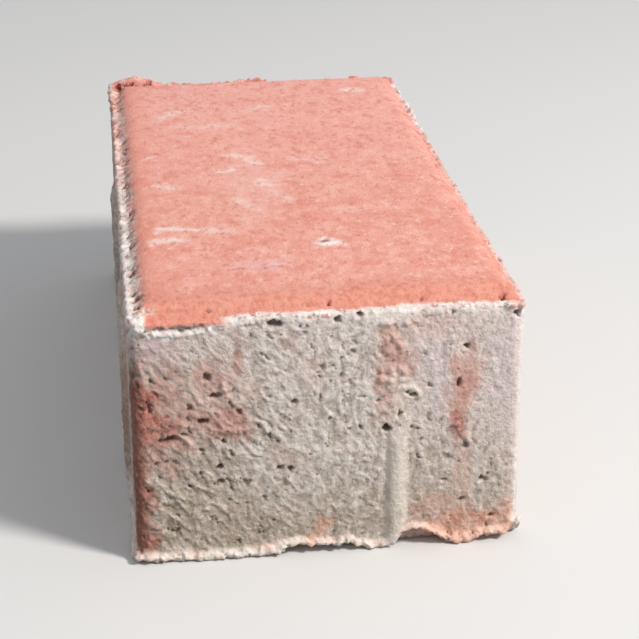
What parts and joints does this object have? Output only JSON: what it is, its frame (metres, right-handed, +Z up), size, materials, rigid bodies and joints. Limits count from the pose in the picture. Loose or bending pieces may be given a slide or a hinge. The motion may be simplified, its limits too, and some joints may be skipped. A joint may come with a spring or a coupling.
{
  "type": "concrete paving stone",
  "caption": "Rectangular pressed concrete paving stone with a red wearing face, a soft arris all round it, spacer nibs on its sides, and the pressed fin and foot lip left on.",
  "frame": {"origin": "middle of the bed face, on the ground that the stone lies on", "axes": "+Z up to the wearing face, +Y along the length, +X across the width; the headers look along -Y and +Y"},
  "size_m": [0.102, 0.202, 0.07],
  "materials": {
    "red_faced_concrete": "matte"
  },
  "bodies": {
    "root": {"paving_stone": "red_faced_concrete"}
  },
  "joints": []
}
